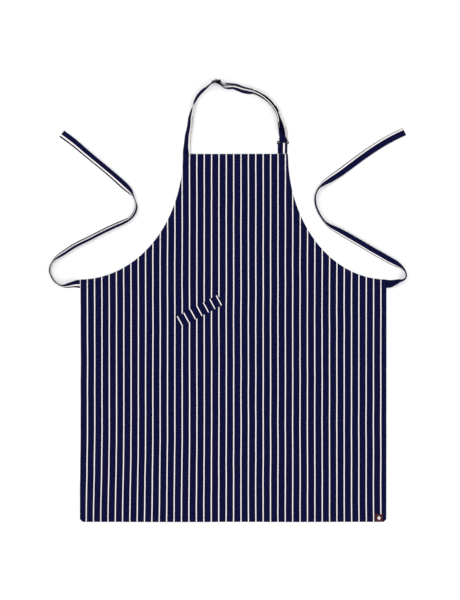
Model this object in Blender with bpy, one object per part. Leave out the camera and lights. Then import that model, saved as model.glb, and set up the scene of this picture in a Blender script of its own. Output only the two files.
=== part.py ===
"""A striped butcher's apron, laid out flat and face up on a table.

One cut of striped cotton makes the bib and the skirt, with its edges turned under and stitched. A neck strap of
flat tape runs from the left bib corner through a three-bar slider, round a metal ring and back to the slider's
middle bar, where its end is sewn. The ring hangs in a short doubled tab at the right bib corner. Two waist ties
leave the side corners. A slanted welt covers the slit of a slash pocket, whose bag lies behind the panel.

Metres, +Z up. X runs across the apron, +Y towards the neck. The table is at Z = 0. The origin is under the
middle of the apron without its ties. Tapes stand on edge where they curve, as flat tape does on a table.
"""

import math

import bmesh
import bpy
from mathutils import Vector

GAP = 0.0003                # between pieces that touch
BEYOND = 0.004              # how far a cutter reaches past what it cuts
UP = Vector((0, 0, 1))

# ---- the panel ----
HALF_WIDTH = 0.355          # the skirt is 710 mm wide
BOTTOM_Y = -0.5126
SIDE_TOP_Y = 0.049          # where the side seams end and the armholes start
BIB_TOP_Y = 0.340
BIB_LEFT_X = -0.116
BIB_RIGHT_X = 0.127
PANEL_TOP_Z = 0.0021
CLOTH = 0.0006
HEM_WIDTH = 0.012
HEM_DEPTH = 0.0015          # the turned hem, below the single cloth
HEM_STEP = 0.0003           # how steeply the hem's inner edge falls
NOTCH_DEPTH = 0.0016        # of the hem's notches over the sewn tape ends
ARMHOLE_STEPS = 22
ARMHOLE_SEAM = (0.09, 0.93) # where its stitching starts and stops, clear of the tacks
STITCH_INSET = 0.0095       # of the hem's topstitching from the edge
STITCH_Z = PANEL_TOP_Z + GAP
STITCH_WIDTH = 0.0008
STITCH_HEIGHT = 0.0003
END_LENGTH = 0.024          # of a tape's sewn end, under the hem
END_TRIM = 0.0006           # off the strap's sewn end, which stays inside the bib's edge
TACK_CLEAR = 0.006          # from a tack to the seams beside it
TACK_CORNER = 0.001
SEAM_CLEAR = 0.004          # from a seam to the seam or the label beside it

# ---- the tapes ----
TAPE = 0.001                # thickness of the strap and the ties
SEWN_END = 0.0012           # thickness of a tape's sewn end
STRAP_WIDTH = 0.019
TAB_WIDTH = 0.022
TAB_PLY = 0.0006
TIE_WIDTH = 0.0185
TAPE_STEP = 0.009           # between the cross sections of a tie
STRAP_STEP = 0.004          # between those of the strap, which twists faster
STRAP_X = -0.107
TAB_X = 0.1145
TIE_ROOT_Y = 0.039
TIE_HINGE_Y = 0.0292        # each tie lifts about its lower edge at the root
STRAP_TACK = (0.014, 0.017)
TAB_TACK = (0.018, 0.017)
TIE_TACK = (0.017, 0.014)
TACK_SHIFT = 0.001          # from the middle of the tape's end

# ---- the ring, a rounded rectangle of round wire that lies flat ----
RING_X = 0.115
RING_LOWER_Y = 0.3636       # the bar in the tab; the ring swings about it
RING_SPAN_Y = 0.0050        # from that bar to the bar that holds the strap
RING_Z = 0.0025
RING_WIRE = 0.0024
RING_INNER_WIDTH = 0.0236
RING_CORNER = 0.0018
RING_STRAP_X = 0.1162       # the middle of the strap on the ring

# ---- the slider, three bars in an upright frame, outside the loop ----
SLIDER_AT = Vector((-0.0390, 0.5066, 0))
SLIDER_TURN = math.radians(8.5)
SLIDER_LENGTH = 0.021
SLIDER_HEIGHT = 0.024
SLIDER_BAR = 0.002
SLIDER_EDGE = 0.0005        # the bevel of its upright edges
SLIDER_LIFT = 0.0025        # of the strap above the table, inside the frame
SLIDER_RAMP = 0.045         # over which the strap rises to that height
MIDDLE_BAR = 0.00196        # diameter
END_SEAM_INSET = 0.003      # of the stitching that closes the strap's end, from that end
END_SEAM_WIDTH = 0.0012
END_SEAM_HEIGHT = 0.01615

# ---- the pocket ----
POCKET_X = -0.079
POCKET_Y = -0.024
POCKET_TURN = math.radians(28)
WELT_LENGTH = 0.112
WELT_WIDTH = 0.026
WELT_THICK = 0.0012
WELT_SEAM_INSET = 0.0025
WELT_END_INSET = 0.003
SLIT_LENGTH = 0.100
SLIT_WIDTH = 0.003
BAG_BOTTOM_Y = -0.205
BAG_CORNER = 0.025
BAG_CORNER_STEPS = 5
BAG_ABOVE_SLIT = 0.012      # of the back layer, which rises behind the welt
BAG_MARGIN = 0.010          # of the bag past each end of the slit
BAG_SEAM = 0.003            # of the seam from the back layer's edge
BAG_PLY = 0.0004
BAG_BACK_Z = 0.0001

# ---- the care label ----
LABEL_X = 0.338
LABEL_Y = -0.5035
LABEL_WIDTH = 0.017
LABEL_HEIGHT = 0.0175
LABEL_THICK = 0.0004
LABEL_SEAM_INSET = 0.0015

# Routes of the tapes, as (x, y, lean). The lean, in degrees, is how far the tape's right-hand edge is raised:
# 0 is flat and face up, 90 is on edge, 180 is flat and face down.
STRAP_LEFT = [
    (-0.107, 0.341, 0), (-0.107, 0.348, 18), (-0.107, 0.356, 33), (-0.106, 0.368, 40),
    (-0.105, 0.382, 45), (-0.102, 0.396, 49), (-0.100, 0.410, 54), (-0.099, 0.423, 60),
    (-0.096, 0.437, 70), (-0.093, 0.450, 84), (-0.088, 0.462, 97), (-0.081, 0.474, 101),
    (-0.070, 0.486, 100), (-0.0615, 0.4925, 94),
]
STRAP_OUTER = [
    (-0.026, 0.5035, 88), (-0.015, 0.5015, 82), (-0.004, 0.5005, 79), (0.008, 0.4990, 78),
    (0.024, 0.4932, 80), (0.043, 0.4890, 85), (0.053, 0.4855, 92), (0.068, 0.4770, 98),
    (0.081, 0.4680, 99), (0.093, 0.4550, 98), (0.101, 0.4420, 97), (0.106, 0.4300, 98),
    (0.109, 0.4200, 103), (0.112, 0.4100, 118), (0.1152, 0.3990, 136), (0.1168, 0.3880, 157),
    (0.1166, 0.3767, 180),
]
STRAP_INNER = [
    (-0.019, 0.4925, 92), (-0.010, 0.4922, 99), (0.000, 0.4925, 102), (0.012, 0.4890, 108),
    (0.023, 0.4850, 111), (0.036, 0.4825, 110), (0.047, 0.481, 98), (0.059, 0.476, 97),
    (0.068, 0.4705, 96), (0.078, 0.463, 92), (0.089, 0.452, 90), (0.0975, 0.440, 90),
]
LEFT_TIE = [
    (-0.3556, 0.039, 0), (-0.363, 0.039, 8), (-0.372, 0.0375, 35), (-0.382, 0.035, 65),
    (-0.392, 0.034, 85), (-0.401, 0.036, 90), (-0.411, 0.043, 90), (-0.419, 0.054, 90),
    (-0.424, 0.068, 90), (-0.422, 0.082, 88), (-0.415, 0.094, 75), (-0.404, 0.103, 60),
    (-0.390, 0.112, 53), (-0.374, 0.123, 53), (-0.354, 0.134, 53), (-0.331, 0.145, 53),
    (-0.304, 0.159, 53), (-0.279, 0.171, 53), (-0.254, 0.182, 55), (-0.239, 0.190, 65),
    (-0.229, 0.202, 80), (-0.224, 0.217, 90), (-0.226, 0.230, 88), (-0.231, 0.243, 70),
    (-0.238, 0.253, 40), (-0.253, 0.267, 25), (-0.274, 0.286, 28), (-0.295, 0.304, 32),
    (-0.318, 0.323, 32), (-0.342, 0.343, 28), (-0.369, 0.366, 18), (-0.397, 0.387, 5),
]
RIGHT_TIE = [
    (0.3556, 0.039, 0), (0.364, 0.039, 5), (0.374, 0.042, 30), (0.384, 0.046, 60),
    (0.393, 0.048, 82), (0.399, 0.053, 90), (0.400, 0.061, 90), (0.397, 0.069, 88),
    (0.390, 0.077, 75), (0.378, 0.085, 50), (0.361, 0.094, 38), (0.340, 0.106, 38),
    (0.317, 0.119, 38), (0.292, 0.134, 38), (0.266, 0.149, 40), (0.243, 0.162, 48),
    (0.224, 0.172, 65), (0.212, 0.182, 84), (0.203, 0.194, 90), (0.195, 0.209, 90),
    (0.190, 0.225, 90), (0.190, 0.243, 90), (0.196, 0.258, 84), (0.208, 0.270, 60),
    (0.224, 0.281, 35), (0.248, 0.297, 15), (0.275, 0.317, 10), (0.308, 0.341, 8),
    (0.340, 0.362, 6), (0.368, 0.378, 4), (0.397, 0.392, 0),
]
# The strap through the slider and round its middle bar, as (along the frame, outwards from the frame).
THROUGH_SLIDER = [
    (-0.0155, -0.0049), (-0.0125, -0.0031), (-0.0105, -0.0022), (-0.0083, -0.0019), (-0.0062, -0.0008),
    (-0.0044, 0.0009), (-0.0024, 0.0026), (0.0, 0.0032), (0.0024, 0.0026), (0.0044, 0.0009),
    (0.0062, -0.0008), (0.0083, -0.0019), (0.0105, -0.0023),
]
ROUND_MIDDLE_BAR = [
    (0.0094, -0.0093), (0.0045, -0.0055), (0.0011, -0.0030), (-0.0009, -0.0016), (-0.0018, 0.0),
    (-0.00127, 0.00127), (0.0, 0.0018), (0.00127, 0.00127), (0.0018, 0.0), (0.0026, -0.0017),
    (0.0053, -0.0040), (0.0090, -0.0069), (0.0120, -0.0092),
]
# The returning strap stands beside the outgoing one, from the ring back: (x, y, z, turn), where the turn is how
# far its inner side has risen from lying flat.
BACK_FROM_RING = [
    (0.1162, 0.3714, 0.0052, 5), (0.1154, 0.3742, 0.0072, 20), (0.1139, 0.3775, 0.0094, 40),
    (0.1107, 0.3818, 0.0107, 62), (0.1080, 0.3875, 0.0104, 77), (0.1065, 0.3950, 0.0099, 86), (0.1056, 0.4020, 0.0096, 89), (0.1046, 0.4120, 0.0096, 90),
    (0.1036, 0.4220, 0.0096, 90), (0.1012, 0.4320, 0.0096, 90),
]
# The tab's two plies as (y, z) of their middles, out to the ring's near bar and back to the bib.
TAB_LOWER = [(0.3406, 0.0003), (0.348, 0.0003), (0.356, 0.0003), (0.360, 0.00045)]
TAB_UPPER = [(0.3595, 0.0037), (0.354, 0.0024), (0.348, 0.0014), (0.343, 0.0012)]
TAB_STEP = 0.006
BAR_TURN_STEPS = 6          # round half a turn of a tape about a bar

NAVY = (0.010, 0.012, 0.060)
CREAM = (0.84, 0.80, 0.78)
DARK_METAL = (0.10, 0.085, 0.075)
LABEL_RED = (0.09, 0.02, 0.018)


def material(name, colour, roughness, metallic=0.0):
    made = bpy.data.materials.get(name) or bpy.data.materials.new(name)
    made.use_nodes = True
    shader = made.node_tree.nodes["Principled BSDF"]
    shader.inputs["Base Color"].default_value = (*colour, 1)
    shader.inputs["Roughness"].default_value = roughness
    shader.inputs["Metallic"].default_value = metallic
    return made


def cloth():
    return material("striped_cotton", NAVY, 0.85)


def pocketing():
    return material("pocketing", CREAM, 0.9)


def thread():
    return material("thread", NAVY, 0.7)


def metal():
    return material("dark_metal", DARK_METAL, 0.35, 1.0)


def add(name, mesh_or_curve, look, origin=Vector((0, 0, 0))):
    """An object of this mesh or curve, whose own origin is at the point given."""
    piece = bpy.data.objects.new(name, mesh_or_curve)
    piece.location = origin
    bpy.context.collection.objects.link(piece)
    mesh_or_curve.materials.append(look)
    return piece


def mesh_of(shape, name, origin=Vector((0, 0, 0))):
    """The bmesh as a mesh, measured from the origin given."""
    bmesh.ops.translate(shape, verts=shape.verts, vec=-origin)
    bmesh.ops.recalc_face_normals(shape, faces=shape.faces)
    mesh = bpy.data.meshes.new(name)
    shape.to_mesh(mesh)
    shape.free()
    return mesh


def plate(outline, low, high):
    """A bmesh of the outline, a list of (x, y), from the height low to the height high."""
    shape = bmesh.new()
    face = shape.faces.new([shape.verts.new((x, y, low)) for x, y in outline])
    raised = bmesh.ops.extrude_face_region(shape, geom=[face])
    corners = [v for v in raised["geom"] if isinstance(v, bmesh.types.BMVert)]
    bmesh.ops.translate(shape, verts=corners, vec=(0, 0, high - low))
    bmesh.ops.recalc_face_normals(shape, faces=shape.faces)
    return shape


def box(low, high):
    """A bmesh of an upright box between two corners."""
    outline = [(low[0], low[1]), (high[0], low[1]), (high[0], high[1]), (low[0], high[1])]
    return plate(outline, low[2], high[2])


def cut(piece, shape, name):
    """Takes the bmesh shape out of the piece."""
    cutter = add(name, mesh_of(shape, name), cloth())
    cutter.hide_render = True
    cutter.display_type = "WIRE"
    modifier = piece.modifiers.new(name, "BOOLEAN")
    modifier.operation = "DIFFERENCE"
    modifier.solver = "EXACT"
    modifier.object = cutter


def turned(point, centre, angle):
    """The (x, y) point turned about the origin and moved to the centre."""
    x, y = point
    across = x * math.cos(angle) - y * math.sin(angle)
    along = x * math.sin(angle) + y * math.cos(angle)
    return centre[0] + across, centre[1] + along


# ---- tapes ----

CORNERS = ((1, 1), (-1, 1), (-1, -1), (1, -1))      # of a tape's cross section


def skin(shape, rings, closed=False):
    """Joins four-cornered rings of vertices into a strip, with capped ends unless it is closed."""
    pairs = list(zip(rings, rings[1:]))
    if closed:
        pairs.append((rings[-1], rings[0]))
    for first, second in pairs:
        for corner in range(4):
            other = (corner + 1) % 4
            shape.faces.new((first[corner], first[other], second[other], second[corner]))
    if not closed:
        shape.faces.new(rings[0])
        shape.faces.new(reversed(rings[-1]))


def headings(points):
    """The plan direction of the route at each of its points."""
    found = []
    for here in range(len(points)):
        before = points[max(here - 1, 0)]
        after = points[min(here + 1, len(points) - 1)]
        found.append(Vector((after[0] - before[0], after[1] - before[1], 0)).normalized())
    return found


def lay(route, width, lift=0.0):
    """Stations (middle, across) of a tape on the table, from its (x, y, lean) route. Across points to its right."""
    stations = []
    for (x, y, lean), heading in zip(route, headings(route)):
        angle = math.radians(lean)
        right = heading.cross(UP)
        across = right * math.cos(angle) + UP * math.sin(angle)
        height = lift + width / 2 * abs(math.sin(angle)) + TAPE / 2 * abs(math.cos(angle))
        stations.append((Vector((x, y, height)), across))
    return stations


def resample(stations, step):
    """A smooth line through the stations, with a cross section about every step."""
    distances = [0.0]
    for (before, _), (after, _) in zip(stations, stations[1:]):
        distances.append(distances[-1] + (after - before).length)
    slopes = []
    last = len(stations) - 1
    for here in range(len(stations)):
        low, high = max(here - 1, 0), min(here + 1, last)
        run = distances[high] - distances[low]
        slopes.append([(stations[high][k] - stations[low][k]) / run for k in (0, 1)])
    fine = [stations[0]]
    for here in range(last):
        span = distances[here + 1] - distances[here]
        pieces = max(1, round(span / step))
        for part in range(1, pieces + 1):
            u = part / pieces
            near, far = (1 + 2 * u) * (1 - u) ** 2, u * u * (3 - 2 * u)
            leave, arrive = u * (1 - u) ** 2 * span, u * u * (u - 1) * span
            fine.append(tuple(
                stations[here][k] * near + stations[here + 1][k] * far
                + slopes[here][k] * leave + slopes[here + 1][k] * arrive
                for k in (0, 1)
            ))
    return fine


def tape(name, stations, width, thickness, step=TAPE_STEP, origin=Vector((0, 0, 0))):
    """A flat tape swept along the stations, as one closed strip with square ends."""
    fine = resample(stations, step)
    shape = bmesh.new()
    rings = []
    for here, (middle, across) in enumerate(fine):
        before, after = fine[max(here - 1, 0)][0], fine[min(here + 1, len(fine) - 1)][0]
        heading = (after - before).normalized()
        side = (across - heading * across.dot(heading)).normalized() * width / 2
        face = side.cross(heading).normalized() * thickness / 2
        corners = [middle + side * a + face * b for a, b in CORNERS]
        sunk = min(0.0, min(corner.z for corner in corners))
        rings.append([shape.verts.new(corner - UP * sunk) for corner in corners])
    skin(shape, rings)
    return add(name, mesh_of(shape, name, origin), cloth(), origin)


# ---- the panel ----


def armhole(side, inset=0.0, first=0.0, last=1.0):
    """Points of an armhole, a quarter of an ellipse, from the side seam (0) up to the bib (1)."""
    centre_x = side * HALF_WIDTH
    reach_x = HALF_WIDTH - abs(BIB_LEFT_X if side < 0 else BIB_RIGHT_X)
    reach_y = BIB_TOP_Y - SIDE_TOP_Y
    points = []
    for step in range(ARMHOLE_STEPS + 1):
        angle = math.pi / 2 * (first + (last - first) * step / ARMHOLE_STEPS)
        out = Vector((math.sin(angle) / reach_x, math.cos(angle) / reach_y)).normalized() * inset
        x = centre_x - side * (reach_x * math.sin(angle) + out.x)
        y = BIB_TOP_Y - reach_y * math.cos(angle) - out.y
        points.append((x, y))
    return points


def panel_outline():
    left, right = armhole(-1), armhole(1)
    bottom = [(HALF_WIDTH, BOTTOM_Y), (-HALF_WIDTH, BOTTOM_Y)]
    return bottom + left + right[::-1]


def sewn_end_boxes():
    """The low and high corners of the four sewn tape ends, by name."""
    half_strap, half_tab, half_tie = STRAP_WIDTH / 2, TAB_WIDTH / 2, TIE_WIDTH / 2
    top, bottom = BIB_TOP_Y, BIB_TOP_Y - END_LENGTH
    edge, inner = HALF_WIDTH, HALF_WIDTH - END_LENGTH
    tie_low, tie_high = TIE_ROOT_Y - half_tie, TIE_ROOT_Y + half_tie
    return {
        "neck_strap_end": ((STRAP_X - half_strap + END_TRIM, bottom, 0), (STRAP_X + half_strap, top, SEWN_END)),
        "ring_tab_end": ((TAB_X - half_tab, bottom, 0), (TAB_X + half_tab, top, SEWN_END)),
        "left_tie_end": ((-edge, tie_low, 0), (-inner, tie_high, SEWN_END)),
        "right_tie_end": ((inner, tie_low, 0), (edge, tie_high, SEWN_END)),
    }


def sewn_ends():
    for name, (low, high) in sewn_end_boxes().items():
        add(name, mesh_of(box(low, high), name), cloth())


def front_panel():
    """The cloth with its hem turned under: a plate whose underside is raised inside the flat hem."""
    shape = plate(panel_outline(), 0, PANEL_TOP_Z)
    underside = min(shape.faces, key=lambda face: face.calc_center_median().z)
    for inset, depth in ((HEM_WIDTH, 0), (HEM_STEP, -HEM_DEPTH)):
        bmesh.ops.inset_individual(shape, faces=[underside], thickness=inset, depth=depth, use_even_offset=True)
    panel = add("front_panel", mesh_of(shape, "front_panel"), cloth())
    for name, (low, high) in sewn_end_boxes().items():
        outward = [BEYOND if abs(value) >= edge else GAP for value, edge in (
            (low[0], HALF_WIDTH), (high[0], HALF_WIDTH), (high[1], BIB_TOP_Y))]
        low_corner = (low[0] - outward[0], low[1] - GAP, -BEYOND)
        high_corner = (high[0] + outward[1], high[1] + outward[2], NOTCH_DEPTH)
        cut(panel, box(low_corner, high_corner), name + "_notch")
    half_length, half_width = SLIT_LENGTH / 2, SLIT_WIDTH / 2
    corners = [(-half_length, -half_width), (half_length, -half_width),
               (half_length, half_width), (-half_length, half_width)]
    slit = [turned(corner, (POCKET_X, POCKET_Y), POCKET_TURN) for corner in corners]
    cut(panel, plate(slit, -BEYOND, BEYOND), "pocket_slit")


# ---- the pocket and the label ----


def pocket():
    half_length, half_width = WELT_LENGTH / 2, WELT_WIDTH / 2
    corners = [(-half_length, -half_width), (half_length, -half_width),
               (half_length, half_width), (-half_length, half_width)]
    outline = [turned(corner, (POCKET_X, POCKET_Y), POCKET_TURN) for corner in corners]
    low = PANEL_TOP_Z + GAP
    add("pocket_welt", mesh_of(plate(outline, low, low + WELT_THICK), "pocket_welt"), cloth())
    back = plate(bag_outline(BAG_ABOVE_SLIT, 0), BAG_BACK_Z, BAG_BACK_Z + BAG_PLY)
    add("pocket_bag_back", mesh_of(back, "pocket_bag_back"), pocketing())
    front_top = PANEL_TOP_Z - CLOTH - GAP
    front = plate(bag_outline(-BAG_SEAM, 2 * BAG_SEAM), front_top - BAG_PLY, front_top)
    add("pocket_bag_front", mesh_of(front, "pocket_bag_front"), pocketing())


def bag_outline(above_slit, inset):
    """The bag hangs from the slit, its top this far above the slit's middle line. Its lower corners are round."""
    half = SLIT_LENGTH / 2 + BAG_MARGIN - inset
    left_top = turned((-half, above_slit), (POCKET_X, POCKET_Y), POCKET_TURN)
    right_top = turned((half, above_slit), (POCKET_X, POCKET_Y), POCKET_TURN)
    radius = BAG_CORNER - inset
    rounded = []
    for side, start, top in ((-1, math.pi, left_top), (1, 1.5 * math.pi, right_top)):
        centre_x, centre_y = top[0] - side * radius, BAG_BOTTOM_Y + inset + radius
        for step in range(BAG_CORNER_STEPS + 1):
            angle = start + math.pi / 2 * step / BAG_CORNER_STEPS
            rounded.append((centre_x + radius * math.cos(angle), centre_y + radius * math.sin(angle)))
    return [left_top] + rounded + [right_top]


def care_label():
    low = PANEL_TOP_Z + GAP
    half_width, half_height = LABEL_WIDTH / 2, LABEL_HEIGHT / 2
    shape = box((LABEL_X - half_width, LABEL_Y - half_height, low),
                (LABEL_X + half_width, LABEL_Y + half_height, low + LABEL_THICK))
    add("care_label", mesh_of(shape, "care_label"), material("label", LABEL_RED, 0.8))


# ---- stitching, each run as one thin raised line ----


def stitch_line(name, points, low=STITCH_Z, closed=False):
    """A thread run through the (x, y) points, standing on the height low. A closed one has no ends."""
    shape = bmesh.new()
    rings = []
    face = UP * STITCH_HEIGHT / 2
    for (x, y), heading in zip(points, headings(points)):
        middle = Vector((x, y, low)) + face
        side = heading.cross(UP) * STITCH_WIDTH / 2
        rings.append([shape.verts.new(middle + side * a + face * b) for a, b in CORNERS])
    skin(shape, rings, closed)
    add(name, mesh_of(shape, name), thread())


def hem_stitching():
    inset = STITCH_INSET
    first_x = STRAP_X + TACK_SHIFT + STRAP_TACK[0] / 2 + TACK_CLEAR
    last_x = TAB_X - TAB_TACK[0] / 2 - TACK_CLEAR
    stitch_line("bib_hem_stitching", [(first_x, BIB_TOP_Y - inset), (last_x, BIB_TOP_Y - inset)])
    stitch_line("left_armhole_stitching", armhole(-1, inset, *ARMHOLE_SEAM))
    stitch_line("right_armhole_stitching", armhole(1, inset, *ARMHOLE_SEAM))
    low = BOTTOM_Y + inset
    top = TIE_ROOT_Y - TACK_SHIFT - TIE_TACK[1] / 2 - TACK_CLEAR
    for side, name in ((-1, "left_side_stitching"), (1, "right_side_stitching")):
        x = side * (HALF_WIDTH - inset)
        bottom = low + SEAM_CLEAR if side < 0 else LABEL_Y + LABEL_HEIGHT
        stitch_line(name, [(x, bottom), (x, top)])
    last_x = LABEL_X - LABEL_WIDTH / 2 - SEAM_CLEAR
    stitch_line("bottom_hem_stitching", [(-HALF_WIDTH + inset, low), (last_x, low)])


def tack(name, x, y, size):
    """A sewn box that holds a tape's end: a closed square run."""
    half_width, half_height = size[0] / 2, size[1] / 2
    outline = []
    for side_x, side_y in ((-1, -1), (1, -1), (1, 1), (-1, 1)):
        first = (x + side_x * half_width, y + side_y * (half_height - TACK_CORNER))
        second = (x + side_x * (half_width - TACK_CORNER), y + side_y * half_height)
        outline += [first, second] if side_x * side_y > 0 else [second, first]
    stitch_line(name, outline, closed=True)


def tacks():
    tack("neck_strap_tack", STRAP_X + TACK_SHIFT, BIB_TOP_Y - END_LENGTH / 2, STRAP_TACK)
    tack("ring_tab_tack", TAB_X, BIB_TOP_Y - END_LENGTH / 2, TAB_TACK)
    inner = HALF_WIDTH - END_LENGTH / 2
    tack("left_tie_tack", -inner, TIE_ROOT_Y - TACK_SHIFT, TIE_TACK)
    tack("right_tie_tack", inner, TIE_ROOT_Y - TACK_SHIFT, TIE_TACK)


def pocket_stitching():
    top = PANEL_TOP_Z + GAP + WELT_THICK + GAP
    edge = WELT_WIDTH / 2 - WELT_SEAM_INSET
    end = WELT_LENGTH / 2 - WELT_END_INSET
    centre = (POCKET_X, POCKET_Y)
    lower_seam = [turned((x, -edge), centre, POCKET_TURN) for x in (SEAM_CLEAR - end, end - SEAM_CLEAR)]
    stitch_line("welt_stitching", lower_seam, low=top)
    for side, name in ((-1, "welt_left_stitching"), (1, "welt_right_stitching")):
        stitch_line(name, [turned((side * end, y), centre, POCKET_TURN) for y in (-edge, edge)], low=top)
    seam = bag_outline(-2 * BAG_SEAM, BAG_SEAM)
    stitch_line("pocket_bag_stitching", seam, low=BAG_BACK_Z + BAG_PLY + GAP)


def label_stitching():
    top = PANEL_TOP_Z + GAP + LABEL_THICK + GAP
    half_width, half_height = LABEL_WIDTH / 2 - LABEL_SEAM_INSET, LABEL_HEIGHT / 2 - LABEL_SEAM_INSET
    points = [(LABEL_X - half_width, LABEL_Y - half_height), (LABEL_X - half_width, LABEL_Y + half_height),
              (LABEL_X + half_width, LABEL_Y + half_height), (LABEL_X + half_width, LABEL_Y - half_height)]
    stitch_line("label_stitching", points, low=top)


# ---- the neck loop and its hardware ----


def in_slider(points):
    """Stations of the strap on edge in the slider, from points in the frame's own plan."""
    stations = []
    for point in points:
        x, y = turned(point, SLIDER_AT.to_2d(), SLIDER_TURN)
        stations.append((Vector((x, y, SLIDER_LIFT + STRAP_WIDTH / 2)), UP.copy()))
    return stations


def round_ring_bar():
    """The strap turns up round the ring's far bar and comes back over it."""
    radius = RING_WIRE / 2 + GAP + TAPE / 2
    bar_y = RING_LOWER_Y + RING_SPAN_Y
    stations = []
    for step in range(BAR_TURN_STEPS + 1):
        angle = -math.pi / 2 - math.pi * step / BAR_TURN_STEPS
        middle = Vector((RING_STRAP_X, bar_y + radius * math.cos(angle), RING_Z + radius * math.sin(angle)))
        stations.append((middle, Vector((1, 0, 0))))
    return stations


def lifted_near_slider(stations):
    """Raises the strap to the slider's height within a short run of it."""
    raised = []
    for middle, across in stations:
        away = min(1.0, (middle.to_2d() - SLIDER_AT.to_2d()).length / SLIDER_RAMP)
        ease = 1 - away * away * (3 - 2 * away)
        raised.append((middle + UP * SLIDER_LIFT * ease, across))
    return raised


def back_from_ring():
    """Stations of the returning strap from the ring to where it joins the inner run."""
    stations = []
    for x, y, z, turn in BACK_FROM_RING:
        angle = math.radians(turn)
        stations.append((Vector((x, y, z)), Vector((math.cos(angle), 0, math.sin(angle)))))
    return stations


def neck_strap():
    left = lifted_near_slider(lay(STRAP_LEFT, STRAP_WIDTH))
    outer = lifted_near_slider(lay(STRAP_OUTER, STRAP_WIDTH))
    inner = lifted_near_slider(lay(STRAP_INNER, STRAP_WIDTH))
    stations = left + in_slider(THROUGH_SLIDER) + outer + round_ring_bar()
    stations += back_from_ring() + inner[::-1] + in_slider(ROUND_MIDDLE_BAR)
    hinge = Vector((0, BIB_TOP_Y + GAP, PANEL_TOP_Z))
    tape("neck_strap", stations, STRAP_WIDTH, TAPE, step=STRAP_STEP, origin=hinge)
    return stations


def ring_tab():
    """One ply runs out under the ring's near bar, turns over it and comes back on top of itself."""
    radius = RING_WIRE / 2 + GAP + TAB_PLY / 2
    across = Vector((1, 0, 0))
    profile = list(TAB_LOWER)
    for step in range(BAR_TURN_STEPS + 1):
        angle = -math.pi / 2 + math.pi * step / BAR_TURN_STEPS
        profile.append((RING_LOWER_Y + radius * math.cos(angle), RING_Z + radius * math.sin(angle)))
    stations = [(Vector((TAB_X, y, z)), across) for y, z in profile + TAB_UPPER]
    hinge = Vector((0, BIB_TOP_Y + GAP, PANEL_TOP_Z))
    tape("ring_tab", stations, TAB_WIDTH, TAB_PLY, step=TAB_STEP, origin=hinge)


def strap_ring():
    """A closed curve of round wire: a rectangle with rounded corners."""
    half_x = RING_INNER_WIDTH / 2 + RING_WIRE / 2
    half_y = RING_SPAN_Y / 2
    middle_y = RING_LOWER_Y + half_y
    origin = Vector((RING_X, RING_LOWER_Y, RING_Z))
    points = []
    for quarter, (side_x, side_y) in enumerate(((1, 1), (-1, 1), (-1, -1), (1, -1))):
        for step in range(4):
            angle = math.pi / 2 * (quarter + step / 3)
            x = RING_X + side_x * (half_x - RING_CORNER) + RING_CORNER * math.cos(angle)
            y = middle_y + side_y * (half_y - RING_CORNER) + RING_CORNER * math.sin(angle)
            points.append(Vector((x, y, RING_Z)) - origin)
    curve = bpy.data.curves.new("strap_ring", "CURVE")
    curve.dimensions = "3D"
    curve.bevel_depth = RING_WIRE / 2
    curve.bevel_resolution = 2
    spline = curve.splines.new("POLY")
    spline.points.add(len(points) - 1)
    spline.use_cyclic_u = True
    for place, point in zip(spline.points, points):
        place.co = (*point, 1)
    add("strap_ring", curve, metal(), origin)


def slider_buckle():
    """An upright frame with a round middle bar; both are one casting."""
    half_length, half_bar = SLIDER_LENGTH / 2, SLIDER_BAR / 2
    shape = box((-half_length, -half_bar, 0), (half_length, half_bar, SLIDER_HEIGHT))
    upright = [edge for edge in shape.edges if abs(edge.verts[0].co.z - edge.verts[1].co.z) > SLIDER_BAR]
    bmesh.ops.bevel(shape, geom=upright, offset=SLIDER_EDGE, segments=2, affect="EDGES", profile=0.5)
    slider = add("slider_buckle", mesh_of(shape, "slider_buckle"), metal(), SLIDER_AT.copy())
    slider.rotation_euler.z = SLIDER_TURN
    window = box((-half_length + SLIDER_BAR, -BEYOND, SLIDER_BAR),
                 (half_length - SLIDER_BAR, BEYOND, SLIDER_HEIGHT - SLIDER_BAR))
    cut(slider, window, "slider_window")
    cutter = bpy.data.objects["slider_window"]
    bar = bmesh.new()
    bmesh.ops.create_cone(bar, cap_ends=True, segments=16, radius1=MIDDLE_BAR / 2, radius2=MIDDLE_BAR / 2,
                          depth=SLIDER_HEIGHT - SLIDER_BAR)
    bmesh.ops.translate(bar, verts=bar.verts, vec=(0, 0, SLIDER_HEIGHT / 2))
    middle = add("slider_middle_bar", mesh_of(bar, "slider_middle_bar"), metal())
    middle.hide_render = True
    middle.display_type = "WIRE"
    union = slider.modifiers.new("middle_bar", "BOOLEAN")
    union.operation = "UNION"
    union.solver = "EXACT"
    union.object = middle
    for guide in (cutter, middle):
        guide.location = SLIDER_AT
        guide.rotation_euler.z = SLIDER_TURN


def strap_end_stitching(stations):
    """The seam that closes the strap's end on itself: a short bar that stands on edge outside the fold."""
    end, before = stations[-1][0], stations[-2][0]
    back = (before - end).normalized()
    out = Vector((-back.y, back.x, 0))
    if out.dot(Vector((0, 1, 0))) < 0:
        out = -out
    middle = end + back * END_SEAM_INSET + out * (TAPE / 2 + GAP + STITCH_HEIGHT / 2)
    shape = bmesh.new()
    bmesh.ops.create_cube(shape, size=1)
    for vert in shape.verts:
        along = back * vert.co.x * END_SEAM_WIDTH
        thick = out * vert.co.y * STITCH_HEIGHT
        vert.co = middle + along + thick + UP * vert.co.z * END_SEAM_HEIGHT
    add("strap_end_stitching", mesh_of(shape, "strap_end_stitching"), thread())


# ---- the ties ----


def ties():
    for name, route, side in (("left_tie", LEFT_TIE, -1), ("right_tie", RIGHT_TIE, 1)):
        hinge = Vector((side * HALF_WIDTH, TIE_HINGE_Y, 0))
        tape(name, lay(route, TIE_WIDTH), TIE_WIDTH, TAPE, origin=hinge)


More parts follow.
